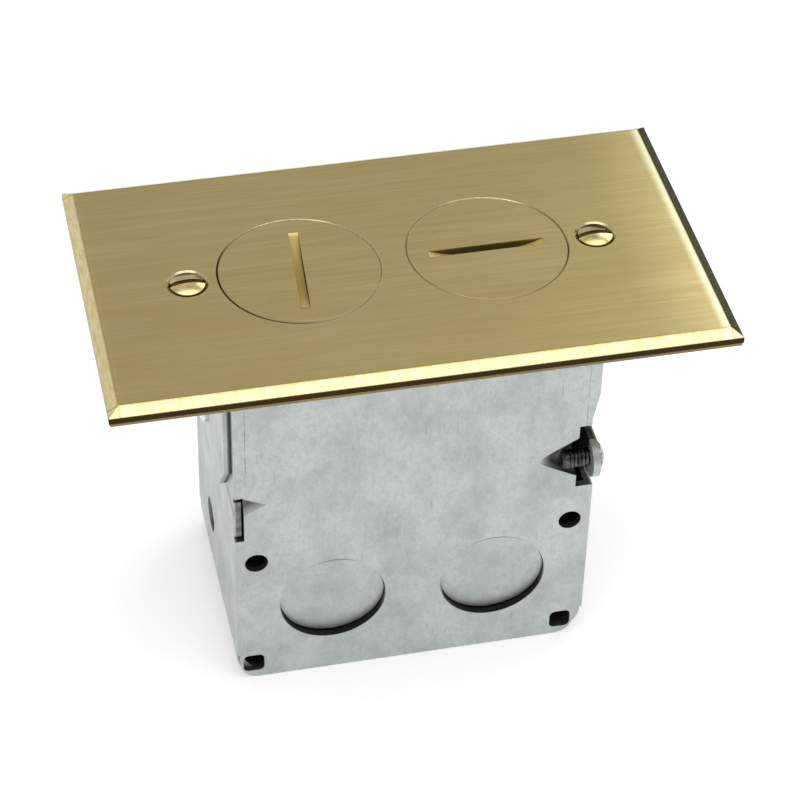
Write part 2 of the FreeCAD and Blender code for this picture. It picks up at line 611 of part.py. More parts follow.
def ear_bracket():
    """The right ear that carries the yoke and cover screws, folded from a slotted leg on the end wall."""
    leg = prism([
        (HALF_LENGTH, -BRACKET_BACK_REACH, YOKE_BASE),
        (HALF_LENGTH, -BRACKET_BACK_REACH, BRACKET_SHOULDER_HEIGHT),
        (HALF_LENGTH, BRACKET_FOOT_TAPER - BRACKET_BACK_REACH, BRACKET_FOOT_HEIGHT),
        (HALF_LENGTH, BRACKET_FRONT_REACH - BRACKET_FOOT_TAPER, BRACKET_FOOT_HEIGHT),
        (HALF_LENGTH, BRACKET_FRONT_REACH, BRACKET_SHOULDER_HEIGHT),
        (HALF_LENGTH, BRACKET_FRONT_REACH, YOKE_BASE),
    ], ALONG_X * SHEET)
    ear = block(HALF_LENGTH, HALF_LENGTH + EAR_REACH, -EAR_WIDTH / 2, EAR_WIDTH / 2, YOKE_BASE - SHEET, YOKE_BASE)
    corners = [edge for edge in ear.Edges
               if abs(edge.CenterOfMass.x - HALF_LENGTH - EAR_REACH) < 1e-6 and abs(edge.tangentAt(0).z) > 0.9]
    ear = ear.makeFillet(EAR_WIDTH / 5, corners)
    slot_centre = Vector(HALF_LENGTH - 1, 0, BRACKET_SCREW_HEIGHT + BRACKET_SLOT_LENGTH / 4)
    slot_radius = BRACKET_SCREW_RADIUS + HOLE_CLEARANCE
    cuts = [
        stadium(slot_centre, BRACKET_SLOT_LENGTH, slot_radius, UP, ALONG_X * (SHEET + 2)),
        rod(COVER_SCREW_RADIUS + SCREW_CLEARANCE,
            Vector(COVER_SCREW_SPACING / 2, 0, YOKE_BASE - SHEET - 1), UP, SHEET + 2),
    ]
    return joined([leg, ear]).cut(cuts)


def ear_bracket_screws():
    """One screw through each bracket's slot into the end wall."""
    screws = []
    for side in SIDES.values():
        place = Vector(side * (HALF_LENGTH + SHEET), 0, BRACKET_SCREW_HEIGHT)
        screws.append(machine_screw(BRACKET_SCREW_RADIUS, BRACKET_SCREW_LENGTH, BRACKET_SCREW_HEAD_RADIUS,
                                    BRACKET_SCREW_HEAD_HEIGHT, place, ALONG_X * side))
    return Part.makeCompound(screws)


def box_ground_screw():
    """The green ground screw, headed inside the box."""
    place = Vector(INNER_LENGTH, GROUND_SCREW_OFFSET, GROUND_SCREW_HEIGHT)
    return machine_screw(GROUND_SCREW_RADIUS, GROUND_SCREW_LENGTH, GROUND_SCREW_HEAD_RADIUS,
                         GROUND_SCREW_HEAD_HEIGHT, place, ALONG_X * -1)


# ---------------------------------------------------------------- receptacle


def blade_places():
    """The middle of the blades of each outlet, left first."""
    return [centre.x + BLADE_OFFSET for centre in outlet_centres()]


def ground_places():
    """The middle of each outlet's ground hole."""
    return [x - GROUND_PIN_DISTANCE for x in blade_places()]


def receptacle_yoke():
    """The steel strap: two slotted ears outside the box and a window under each outlet."""
    half = COVER_SCREW_SPACING / 2 + YOKE_SLOT_LENGTH / 2 + 2.0
    strap = block(-half, half, -YOKE_WIDTH / 2, YOKE_WIDTH / 2, YOKE_BASE, YOKE_TOP)
    corners = [edge for edge in strap.Edges if abs(edge.tangentAt(0).z) > 0.9]
    strap = strap.makeFillet(YOKE_WIDTH / 4, corners)
    cuts = [rod(COVER_SCREW_RADIUS, Vector(0, 0, YOKE_BASE - 1), UP, YOKE_THICKNESS + 2)]
    for side in SIDES.values():
        ear = Vector(side * COVER_SCREW_SPACING / 2, 0, YOKE_BASE - 1)
        cuts.append(stadium(ear, YOKE_SLOT_LENGTH, COVER_SCREW_RADIUS + HOLE_CLEARANCE, ALONG_X,
                            UP * (YOKE_THICKNESS + 2)))
        middle = side * OUTLET_SPACING / 2
        cuts.append(block(middle - YOKE_WINDOW_LENGTH / 2, middle + YOKE_WINDOW_LENGTH / 2,
                          -YOKE_WINDOW_WIDTH / 2, YOKE_WINDOW_WIDTH / 2, YOKE_BASE - 1, YOKE_TOP + 1))
    return strap.cut(cuts)


def receptacle_face():
    """The upper moulding: a flange with two flat-sided round faces and their blade openings."""
    length, width = RECEPTACLE_LENGTH / 2, RECEPTACLE_WIDTH / 2
    solids = [block(-length, length, -width, width, YOKE_TOP, YOKE_TOP + FLANGE_THICKNESS)]
    cuts = [rod(COVER_SCREW_RADIUS + HOLE_CLEARANCE, Vector(0, 0, YOKE_TOP - 1), UP, FLANGE_THICKNESS + 2)]
    for centre in outlet_centres():
        disc = rod(FACE_RADIUS, centre + UP * YOKE_TOP, UP, FACE_HEIGHT)
        flat = block(-HALF_LENGTH, HALF_LENGTH, -FACE_FLAT, FACE_FLAT, YOKE_TOP, FACE_TOP)
        solids.append(disc.common(flat))
    for blade_x, ground_x in zip(blade_places(), ground_places()):
        for sign, slot_length in ((-1, HOT_SLOT_LENGTH), (1, NEUTRAL_SLOT_LENGTH)):
            y = sign * BLADE_SPACING / 2
            cuts.append(block(blade_x - slot_length / 2, blade_x + slot_length / 2,
                              y - BLADE_SLOT_WIDTH / 2, y + BLADE_SLOT_WIDTH / 2, YOKE_TOP - 1, FACE_TOP + 1))
        cuts.append(rod(GROUND_HOLE_RADIUS, Vector(ground_x, 0, YOKE_TOP - 1), UP, FACE_HEIGHT + 2))
    for sign in (-1, 1):
        cuts.append(rod(RIVET_RADIUS + SCREW_CLEARANCE, Vector(0, sign * RIVET_OFFSET, YOKE_TOP - 1), UP,
                        FLANGE_THICKNESS + 2))
    return joined(solids).cut(cuts)


def terminal_places():
    """The middle of each terminal screw along the receptacle."""
    return [side * TERMINAL_SPACING / 2 for side in SIDES.values()]


def contact_strip(sign, slot_length):
    """A line contact: bar, two pairs of spring leaves and two terminal plates on its side."""
    y = sign * BLADE_SPACING / 2
    floor = RECEPTACLE_BASE + CONTACT_FLOOR
    bar_top = floor + CONTACT_SHEET
    half = CONTACT_BAR_LENGTH / 2
    solids = [block(-half, half, y - CONTACT_BAR_WIDTH / 2, y + CONTACT_BAR_WIDTH / 2, floor, bar_top)]
    for blade_x in blade_places():
        for leaf in (-1, 1):
            leaf_y = y + leaf * (CONTACT_GAP + CONTACT_SHEET) / 2
            solids.append(block(blade_x - slot_length / 2, blade_x + slot_length / 2,
                                leaf_y - CONTACT_SHEET / 2, leaf_y + CONTACT_SHEET / 2,
                                floor, bar_top + CONTACT_HEIGHT))
    wall = RECEPTACLE_WIDTH / 2
    half_plate = TERMINAL_PLATE_SIZE / 2
    for x in terminal_places():
        tab = block(x - half_plate, x + half_plate, BLADE_SPACING / 2, wall + CONTACT_SHEET, floor, bar_top)
        plate = block(x - half_plate, x + half_plate, wall, wall + CONTACT_SHEET,
                      floor, floor + TERMINAL_PLATE_SIZE)
        for shape in (tab, plate):
            solids.append(shape if sign > 0 else shape.mirror(Vector(0, 0, 0), ALONG_Y))
    strip = joined(solids)
    holes = [rod(TERMINAL_SCREW_RADIUS + SCREW_CLEARANCE, Vector(x, sign * (wall - 1), terminal_height()),
                 ALONG_Y * sign, CONTACT_SHEET + 2) for x in terminal_places()]
    return strip.cut(holes)


def terminal_height():
    """The height of the terminal screws."""
    return RECEPTACLE_BASE + CONTACT_FLOOR + TERMINAL_PLATE_SIZE / 2 + CONTACT_SHEET / 2


def ground_strip():
    """The ground contact: a bar that joins a tube under each ground hole."""
    floor = RECEPTACLE_BASE + CONTACT_FLOOR
    bar_top = floor + CONTACT_SHEET
    half = CONTACT_BAR_LENGTH / 2
    width = GROUND_TUBE_RADIUS - 0.25
    solids = [block(-half, half, -width, width, floor, bar_top)]
    cuts = []
    for x in ground_places():
        foot = Vector(x, 0, floor)
        solids.append(rod(GROUND_TUBE_RADIUS, foot, UP, CONTACT_HEIGHT + CONTACT_SHEET))
        cuts.append(rod(GROUND_HOLE_RADIUS - 0.25, foot + UP * CONTACT_SHEET, UP, CONTACT_HEIGHT + 1))
    return joined(solids).cut(cuts)


def receptacle_base():
    """The lower moulding, channelled for the three contacts, the yoke and the terminals."""
    length, width = RECEPTACLE_LENGTH / 2, RECEPTACLE_WIDTH / 2
    shell = block(-length, length, -width, width, RECEPTACLE_BASE, YOKE_TOP)
    low = [edge for edge in shell.Edges if abs(edge.CenterOfMass.z - RECEPTACLE_BASE) < 1e-6]
    shell = shell.makeChamfer(1.2, low)
    floor = RECEPTACLE_BASE + CONTACT_FLOOR
    reach = CONTACT_BAR_LENGTH / 2 + CONTACT_CLEARANCE
    ground_half = GROUND_TUBE_RADIUS + 0.15
    ground_reach = max(reach, GROUND_TUBE_RADIUS + CONTACT_CLEARANCE - min(ground_places()))
    half_yoke = YOKE_WIDTH / 2 + YOKE_CLEARANCE
    cuts = [
        block(-ground_reach, reach, -ground_half, ground_half, floor, YOKE_TOP + 1),
        block(-length - 1, length + 1, -half_yoke, half_yoke, YOKE_BASE, YOKE_TOP + 1),
    ]
    half_bar = CONTACT_BAR_WIDTH / 2 + CONTACT_CLEARANCE
    half_plate = TERMINAL_PLATE_SIZE / 2 + CONTACT_CLEARANCE
    for sign in (-1, 1):
        y = sign * BLADE_SPACING / 2
        cuts.append(block(-reach, reach, y - half_bar, y + half_bar, floor, YOKE_TOP + 1))
        cuts.append(rod(RIVET_RADIUS + SCREW_CLEARANCE, Vector(0, sign * RIVET_OFFSET, RECEPTACLE_BASE - 1), UP,
                        RECEPTACLE_DEPTH + 2))
        for x in terminal_places():
            tab = block(x - half_plate, x + half_plate, BLADE_SPACING / 2, width + 1,
                        floor, floor + CONTACT_SHEET + CONTACT_CLEARANCE)
            cuts.append(tab if sign > 0 else tab.mirror(Vector(0, 0, 0), ALONG_Y))
            cuts.append(rod(TERMINAL_SCREW_RADIUS + HOLE_CLEARANCE, Vector(x, y, terminal_height()),
                            ALONG_Y * sign, width))
    return shell.cut(cuts)


def terminal_screws(sign):
    """The two terminal screws of one side."""
    screws = []
    for x in terminal_places():
        place = Vector(x, sign * (RECEPTACLE_WIDTH / 2 + CONTACT_SHEET), terminal_height())
        screws.append(machine_screw(TERMINAL_SCREW_RADIUS, TERMINAL_SCREW_LENGTH, TERMINAL_SCREW_HEAD_RADIUS,
                                    TERMINAL_SCREW_HEAD_HEIGHT, place, ALONG_Y * sign))
    return Part.makeCompound(screws)


def receptacle_rivets():
    """The two rivets that hold the face to the base."""
    top = YOKE_TOP + FLANGE_THICKNESS
    profile = [
        (0, top + RIVET_HEAD_HEIGHT),
        (RIVET_HEAD_RADIUS * 0.7, top + RIVET_HEAD_HEIGHT),
        (RIVET_HEAD_RADIUS, top),
        (RIVET_RADIUS, top),
        (RIVET_RADIUS, RECEPTACLE_BASE),
        (RIVET_HEAD_RADIUS, RECEPTACLE_BASE),
        (RIVET_HEAD_RADIUS * 0.7, RECEPTACLE_BASE - RIVET_HEAD_HEIGHT),
        (0, RECEPTACLE_BASE - RIVET_HEAD_HEIGHT),
    ]
    return Part.makeCompound([turned(profile, Vector(0, sign * RIVET_OFFSET, 0)) for sign in (-1, 1)])


def pieces():
    """Every node of the assembly by name."""
    front_panel = side_panel()
    front_discs = knockouts_front()
    front_screw = gang_screw()
    return {
        "cover_plate": cover_plate(),
        "cover_gasket": cover_gasket(),
        "plug_left": screw_plug("left"),
        "plug_right": screw_plug("right"),
        "plug_seal_left": plug_seal("left"),
        "plug_seal_right": plug_seal("right"),
        "cover_screw_left": cover_screw("left"),
        "cover_screw_right": cover_screw("right"),
        "box_body": box_body(),
        "side_panel_front": front_panel,
        "side_panel_rear": half_turn(front_panel),
        "knockouts_front": front_discs,
        "knockouts_rear": half_turn(front_discs),
        "knockouts_bottom": knockouts_bottom(),
        "gang_screw_front": front_screw,
        "gang_screw_rear": half_turn(front_screw),
        "ear_bracket_left": half_turn(ear_bracket()),
        "ear_bracket_right": ear_bracket(),
        "ear_bracket_screws": ear_bracket_screws(),
        "box_ground_screw": box_ground_screw(),
        "receptacle_yoke": receptacle_yoke(),
        "receptacle_face": receptacle_face(),
        "receptacle_base": receptacle_base(),
        "hot_contact_strip": contact_strip(-1, HOT_SLOT_LENGTH),
        "neutral_contact_strip": contact_strip(1, NEUTRAL_SLOT_LENGTH),
        "ground_strip": ground_strip(),
        "hot_terminal_screws": terminal_screws(-1),
        "neutral_terminal_screws": terminal_screws(1),
        "receptacle_rivets": receptacle_rivets(),
    }


def main():
    os.makedirs("parts", exist_ok=True)
    for name, shape in pieces().items():
        shape.exportStep(f"parts/{name}.step")
        print(f"{name}: {len(shape.Solids)} solid(s), {shape.Volume:.1f} mm3")


main()
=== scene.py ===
"""Floor socket box, dressed: satin brass, zinc-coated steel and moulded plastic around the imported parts."""
import math
import bpy
from bpy.props import FloatProperty, FloatVectorProperty, PointerProperty
from mathutils import Matrix, Vector


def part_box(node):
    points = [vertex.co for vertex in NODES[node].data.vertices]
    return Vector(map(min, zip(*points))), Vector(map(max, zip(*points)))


bl_info = {
    "name": "Floor Socket Box",
    "version": (1, 0, 0),
    "blender": (4, 5, 0),
    "location": "View3D > Sidebar > Floor Box",
    "description": "Finishes for a brass-covered floor socket box, with its studio",
    "category": "Object",
}

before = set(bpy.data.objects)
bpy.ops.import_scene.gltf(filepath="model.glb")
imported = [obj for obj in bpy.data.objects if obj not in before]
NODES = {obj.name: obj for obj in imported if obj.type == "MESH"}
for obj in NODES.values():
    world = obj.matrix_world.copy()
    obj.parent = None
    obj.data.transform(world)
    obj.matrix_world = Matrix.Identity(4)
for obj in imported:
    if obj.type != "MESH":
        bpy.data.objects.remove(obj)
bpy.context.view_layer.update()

_, COVER_HIGH = (Vector(corner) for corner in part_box("cover_plate"))
PANEL_LOW, PANEL_HIGH = (Vector(corner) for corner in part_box("side_panel_front"))
DISCS_LOW, DISCS_HIGH = (Vector(corner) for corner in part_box("knockouts_front"))
PLUG_LOW, PLUG_HIGH = (Vector(corner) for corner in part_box("plug_left"))
BRACKET_LOW, _ = (Vector(corner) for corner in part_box("ear_bracket_left"))
PLUG_MIDDLES = {
    name: (Vector(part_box(name)[0]) + Vector(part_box(name)[1])) / 2 for name in ("plug_left", "plug_right")}

# The cover, in metres. A pair (half width, softness) is what band() takes.
PLUG_CLEARANCE = 0.00008
SEAM_RADIUS = (PLUG_HIGH.x - PLUG_LOW.x) / 2 + PLUG_CLEARANCE
SEAM_LINE = (0.00012, 0.00018)
BEVEL_WIDTH = 0.0022
CREST_X = COVER_HIGH.x - BEVEL_WIDTH
CREST_Y = COVER_HIGH.y - BEVEL_WIDTH
RIDGE_LINE = (0.0001, 0.00025)
# Where the painted highlight beside the right bevel begins, where it is full, and how far past the crest it
# fades.
PAINTED_HIGHLIGHT_WIDTH = 0.0022
PAINTED_HIGHLIGHT_FULL = 0.0002
PAINTED_HIGHLIGHT_EDGE = 0.0001
SLOT_END = 0.0127
SLOT_FADE = 0.0004
TARNISH_START = 0.0001
TARNISH_FULL = 0.0004
ROLL_OFFS = ((0.045, -3.6), (0.0585, -50.0))  # where the surface starts to fall, and how steeply

# The steel box, in metres. A pair (start, full) is where the painted shade and the fold dots begin and where
# they are whole.
RING_GAP = 0.00015
RING_LINE = (0.0001, 0.0002)
FOLD_INSET = 0.0024
FOLD_LINE = (0.00004, 0.0001)
FOLD_RISE = (0.052, 0.056)
UNDER_BRACKET = 0.0006
UNDER_LINE = (0.0004, 0.0005)
CORNER_LINE = (0.00005, 0.0001)
END_INSET = (0.0002, 0.0005)
DENT_DEPTH = (0.0002, 0.0012)
DENT_RISE = (0.038, 0.040)
INSIDE_INSET = (0.0012, 0.0016)
INSIDE_DEPTH = (0.0036, 0.0042)
CUT_DEPTH = (0.00005, 0.0002)
CUT_RISE = (0.0006, 0.001)
BRACKET_EDGE = (0.0008, 0.0004)
# Where the gang screws' painted pocket shade begins outside the end wall, and where it is full inside it.
SCREW_LIT_FROM = 0.0006
SCREW_SHADED_FROM = 0.0004

# The studio, in metres. A light is its place, its width and depth, its brightness and its colour.
LIGHTS = {
    "overhead": ((0.0, -0.15, 1.25), (1.6, 1.2), 1.45, (1.0, 1.0, 1.0)),
    "back right": ((0.85, 0.80, 0.85), (0.7, 0.7), 1.9, (0.93, 1.0, 0.97)),
    "back left": ((-0.56, 0.91, 0.64), (0.42, 0.42), 0.55, (1.0, 0.97, 0.88)),
}
FLOOR_REACH = 3.0
FLOOR_LEVEL = -0.0001
CARD_FOOT = ((0.15, 0.62), (0.68, 0.2))
CARD_HEIGHT = 0.30
SENSOR_WIDTH = 36.0  # millimetres
CLIP_START = 0.01


# ---------------------------------------------------------------- settings


def colour_setting(name, description, default):
    """A colour that the user can change."""
    return FloatVectorProperty(
        name=name, description=description, subtype="COLOR", size=3, min=0, max=1, default=default)


class BrassSettings(bpy.types.PropertyGroup):
    """Colours and finish of the brass."""

    base: colour_setting("Base", "Colour of the clean satin brass", (0.485, 0.38, 0.163))
    pale: colour_setting("Pale", "Colour of the brightest brush lines", (0.61, 0.50, 0.24))
    bevel: colour_setting("Bevel", "Colour of the milled bevels", (0.72, 0.64, 0.385))
    # Painted highlight: the strip beside the right bevel is coloured bright, as if lit.
    painted_highlight: colour_setting("Highlight", "Colour of the strip rubbed bright at the right end", (0.88, 0.84, 0.58))
    # Painted shade and dark reflection: the near black of the cover's upright faces, of one side of each plug
    # seam and of each cover screw's far slope.
    edge: colour_setting("Edge", "Colour of the shaded outer edge", (0.035, 0.022, 0.008))
    polish: colour_setting("Polish", "Colour of the buffed cover screws", (0.80, 0.66, 0.31))
    # Tarnish colour; in the plugs' slots the walls are painted darker than it as shade and the beds lighter.
    pocket: colour_setting("Pocket", "Colour of the tarnished walls of the coin slots", (0.34, 0.255, 0.075))
    sheet: colour_setting("Sheet", "Colour of the contacts' rolled sheet", (0.83, 0.66, 0.32))
    sheet_grain: colour_setting("Sheet grain", "Colour of the darker grain in the sheet", (0.70, 0.50, 0.20))
    roughness: FloatProperty(
        name="Roughness", description="Mean roughness of the satin finish", min=0, max=1, default=0.36)
    line_width: FloatProperty(
        name="Line width", description="Width of a brush line", subtype="DISTANCE", unit="LENGTH",
        min=0.00002, max=0.002, default=0.00016)
    line_length: FloatProperty(
        name="Line length", description="Length of a brush line", subtype="DISTANCE", unit="LENGTH",
        min=0.001, max=0.1, default=0.014)


class SteelSettings(bpy.types.PropertyGroup):
    """Colours and finish of the steel."""

    base: colour_setting("Base", "Colour of the zinc coat", (0.445, 0.48, 0.468))
    dark: colour_setting("Dark", "Colour of scratches and specks", (0.20, 0.22, 0.215))
    # Painted shade: the near black laid in the knockout rings, under the brackets, in the pockets, on cut edges
    # and inside the box.
    dirt: colour_setting("Shadow", "Colour of dirt and of dark cut edges", (0.02, 0.022, 0.02))
    plate: colour_setting("Plate", "Colour of the bright plate on screws, rivets and strap", (0.76, 0.78, 0.78))
    roughness: FloatProperty(
        name="Roughness", description="Mean roughness of the zinc coat", min=0, max=1, default=0.46)
    spangle: FloatProperty(
        name="Spangle", description="Size of a zinc crystal", subtype="DISTANCE", unit="LENGTH",
        min=0.0005, max=0.05, default=0.0042)


class PlasticSettings(bpy.types.PropertyGroup):
    """Colours of the receptacle's mouldings, of the rubber and of the ground screw's dye."""

    face: colour_setting("Face", "Colour of the receptacle's face", (0.10, 0.055, 0.03))
    base: colour_setting("Base", "Colour of the receptacle's base", (0.025, 0.024, 0.024))
    rubber: colour_setting("Rubber", "Colour of the gasket and seals", (0.22, 0.155, 0.065))
    ground_green: colour_setting("Ground green", "Colour of the ground screw", (0.02, 0.20, 0.05))
    ground_worn: colour_setting("Ground worn", "Colour of the ground screw's worn spots", (0.3, 0.4, 0.3))


class StudioSettings(bpy.types.PropertyGroup):
    """The studio: camera, floor, card and even light."""

    azimuth: FloatProperty(
        name="Azimuth", description="How far the camera looks towards +X from +Y", subtype="ANGLE",
        default=math.radians(13.387))
    elevation: FloatProperty(
        name="Elevation", description="How far the camera looks down", subtype="ANGLE",
        default=math.radians(41.618))
    roll: FloatProperty(
        name="Roll", description="Turn of the camera about its own line of sight", subtype="ANGLE",
        default=math.radians(1.566))
    eye: FloatVectorProperty(
        name="Eye", description="Camera's place from the middle of the cover's top", subtype="TRANSLATION",
        unit="LENGTH", size=3, default=(-0.098157, -0.421011, 0.346347))
    lens: FloatProperty(
        name="Lens", description="Focal length in millimetres on a 36 mm sensor", min=10, max=400,
        default=124.62)
    floor: colour_setting("Floor", "Colour of the floor", (0.93, 0.93, 0.93))
    card: colour_setting("Card", "Colour of the black card", (0.01, 0.01, 0.01))
    floor_glow: FloatProperty(
        name="Floor glow", description="How much the floor shines by itself, as a lit table does", min=0,
        max=5, default=0.35)
    world: FloatProperty(
        name="World", description="Strength of the even light all round", min=0, max=10, default=0.55)


# ---------------------------------------------------------------- node graphs


class Finish:
    """A material's node tree, with short ways to add and join its nodes."""

    def __init__(self, name, metallic=0.0, roughness=0.5):
        self.material = bpy.data.materials.new(name)
        self.material.use_nodes = True
        self.tree = self.material.node_tree
        self.shader = self.tree.nodes["Principled BSDF"]
        self.shader.inputs["Metallic"].default_value = metallic
        self.shader.inputs["Roughness"].default_value = roughness
        coordinates = self.add("ShaderNodeTexCoord")
        self.place = coordinates.outputs["Object"]
        self.normal = coordinates.outputs["Normal"]

    def add(self, kind, inputs=None, **settings):
        """A node with its settings made and its inputs linked or set."""
        node = self.tree.nodes.new(kind)
        for key, value in settings.items():
            setattr(node, key, value)
        for key, value in (inputs or {}).items():
            if isinstance(value, bpy.types.NodeSocket):
                self.tree.links.new(value, node.inputs[key])
            else:
                node.inputs[key].default_value = value
        return node

    def maths(self, operation, *values):
        """A Math node's result, with each further value worked in by one more node."""
        result = self.add("ShaderNodeMath", dict(enumerate(values[:2])), operation=operation).outputs[0]
        for value in values[2:]:
            result = self.add("ShaderNodeMath", {0: result, 1: value}, operation=operation).outputs[0]
        return result

    def product(self, *values):
        """The values multiplied."""
        return self.maths("MULTIPLY", *values)

    def total(self, *values):
        """The values added."""
        return self.maths("ADD", *values)

    def greatest(self, *values):
        """The largest of the values."""
        return self.maths("MAXIMUM", *values)

    def magnitude(self, value):
        """A value without its sign."""
        return self.maths("ABSOLUTE", value)

    def distance(self, first, second):
        """The root of the sum of two squares."""
        return self.maths("SQRT", self.total(self.product(first, first), self.product(second, second)))

    def split(self, vector):
        """The three parts of a vector."""
        return self.add("ShaderNodeSeparateXYZ", {0: vector}).outputs

    def scaled(self, scale, shift=(0, 0, 0)):
        """Object coordinates, shifted and scaled."""
        return self.add("ShaderNodeMapping", {
            "Vector": self.place, "Scale": scale, "Location": shift}).outputs[0]

    def noise(self, scale, detail=2.0, roughness=0.5, shift=(0, 0, 0)):
        """Noise with its own scale along each axis."""
        return self.add("ShaderNodeTexNoise", {
            "Vector": self.scaled(scale, shift), "Scale": 1.0, "Detail": detail,
            "Roughness": roughness}).outputs["Fac"]

    def cells(self, scale):
        """Cells of random colour."""
        return self.add("ShaderNodeTexVoronoi", {"Vector": self.scaled(scale), "Scale": 1.0}).outputs["Color"]

    def range(self, value, low, high, to_low=0.0, to_high=1.0, smooth=False):
        """value taken from low..high to another range, and held within it."""
        return self.add("ShaderNodeMapRange", {
            "Value": value, "From Min": low, "From Max": high, "To Min": to_low, "To Max": to_high},
            interpolation_type="SMOOTHSTEP" if smooth else "LINEAR").outputs[0]

    def mix(self, factor, first, second):
        """A colour between two colours or colour sockets."""
        node = self.add("ShaderNodeMix", data_type="RGBA")
        for socket, value in zip((node.inputs[0], node.inputs[6], node.inputs[7]), (factor, first, second)):
            if isinstance(value, bpy.types.NodeSocket):
                self.tree.links.new(value, socket)
            elif isinstance(value, (int, float)):
                socket.default_value = value
            else:
                socket.default_value = (*value[:3], 1.0)
        return node.outputs[2]

    def bump(self, height, distance, strength=1.0, normal=None):
        """A normal bent by a height."""
        inputs = {"Height": height, "Distance": distance, "Strength": strength}
        if normal is not None:
            inputs["Normal"] = normal
        return self.add("ShaderNodeBump", inputs).outputs[0]

    def into(self, **sockets):
        """The material, with sockets or plain values in its shader by name, with _ for a space."""
        for key, value in sockets.items():
            socket = self.shader.inputs[key.replace("_", " ")]
            if isinstance(value, bpy.types.NodeSocket):
                self.tree.links.new(value, socket)
            else:
                socket.default_value = value
        return self.material


def shade(colour, factor):
    """A colour made darker or lighter by a factor, and held to 1."""
    return tuple(min(1.0, factor * part) for part in colour)


def band(finish, value, middle, half_width, soft):
    """1 within half_width of middle, falling to 0 over soft."""
    off = finish.magnitude(finish.maths("SUBTRACT", value, middle))
    return finish.range(off, half_width + soft, half_width)


def inset(finish, span, start, full):
    """0 within start of the panels' ends, rising to 1 where span is full or more short of them."""
    return finish.range(span, PANEL_HIGH.x - start, PANEL_HIGH.x - full)


# ---------------------------------------------------------------- brass


def seam_line(finish, middle, towards, low, high):
    """1 on a plug's seam on the side that faces towards, and 0 elsewhere.

    The seam is a ring about middle. Its strength follows the part of a point's direction from the middle
    that lies along towards.
    """
    x, y, _ = finish.split(finish.place)
    off_x = finish.maths("SUBTRACT", x, middle)
    line = band(finish, finish.distance(off_x, y), SEAM_RADIUS, *SEAM_LINE)
    along = finish.total(finish.product(off_x, towards[0]), finish.product(y, towards[1]))
    facing = finish.range(finish.maths("DIVIDE", along, SEAM_RADIUS), low, high, smooth=True)
    return finish.product(line, facing)


def seam_shade_and_highlight(finish, settings, colour):
    """colour with the plugs' seams drawn in: each is a dark joint, with painted shade on one side and a painted
    highlight on the other.
    """
    bright_side = ((0.6, -0.8), 0.2, 0.9)
    for plug, dark_side, strength in (
            ("plug_left", ((-0.85, -0.5), 0.05, 0.75), 1.0),
            ("plug_right", ((1.0, 0.05), 0.6, 0.95), 0.25)):
        dark = seam_line(finish, PLUG_MIDDLES[plug].x, *dark_side)
        bright = seam_line(finish, PLUG_MIDDLES[plug].x, *bright_side)
        # painted highlight on the seam's lit side, in the bevel colour
        colour = finish.mix(finish.product(bright, 0.55 * strength), colour, settings.bevel)
        # painted shade on the seam's other side, in the edge colour
        colour = finish.mix(finish.product(dark, 0.3 + 0.6 * strength), colour, settings.edge)
    return colour


def brushed(finish, settings):
    """The height of the brush lines along X, and the colour that they give."""
    across = 1 / settings.line_width
    along = 1 / settings.line_length
    lines = finish.noise((along, across, across), detail=3.0, roughness=0.65)
    broad = finish.noise((along * 0.5, across * 0.12, across * 0.12))
    cloud = finish.noise((30, 110, 110), detail=3.0)
    streaks = finish.total(finish.product(lines, 0.72), finish.product(broad, 0.28))
    colour = finish.mix(finish.range(streaks, 0.38, 0.63), settings.base, settings.pale)
    colour = finish.mix(finish.range(cloud, 0.38, 0.68, 0.0, 0.45), colour, settings.base)
    return streaks, colour


def rolled_off(finish, streaks):
    """The normal of brass whose ends the buffing has rolled off, with its brush lines cut in.

    Past each start in ROLL_OFFS the surface falls as the square of the distance from it, times its
    steepness. The fall stops at the bevel, and fades out on slopes.
    """
    tilt = finish.split(finish.normal)["Z"]
    span = finish.maths("MINIMUM", finish.magnitude(finish.split(finish.place)["X"]), CREST_X)
    falls = []
    for start, steepness in ROLL_OFFS:
        past = finish.greatest(finish.maths("SUBTRACT", span, start), 0.0)
        falls.append(finish.product(past, past, steepness))
    rolled = finish.bump(finish.total(*falls), 1.0, finish.range(tilt, 0.92, 0.97))
    return finish.bump(streaks, 0.000008, 0.6, rolled)


def tarnish_depth(finish):
    """0 at the plugs' tops, rising to 1 a little way down a slot."""
    z = finish.split(finish.place)["Z"]
    return finish.range(z, PLUG_HIGH.z - TARNISH_START, PLUG_HIGH.z - TARNISH_FULL)


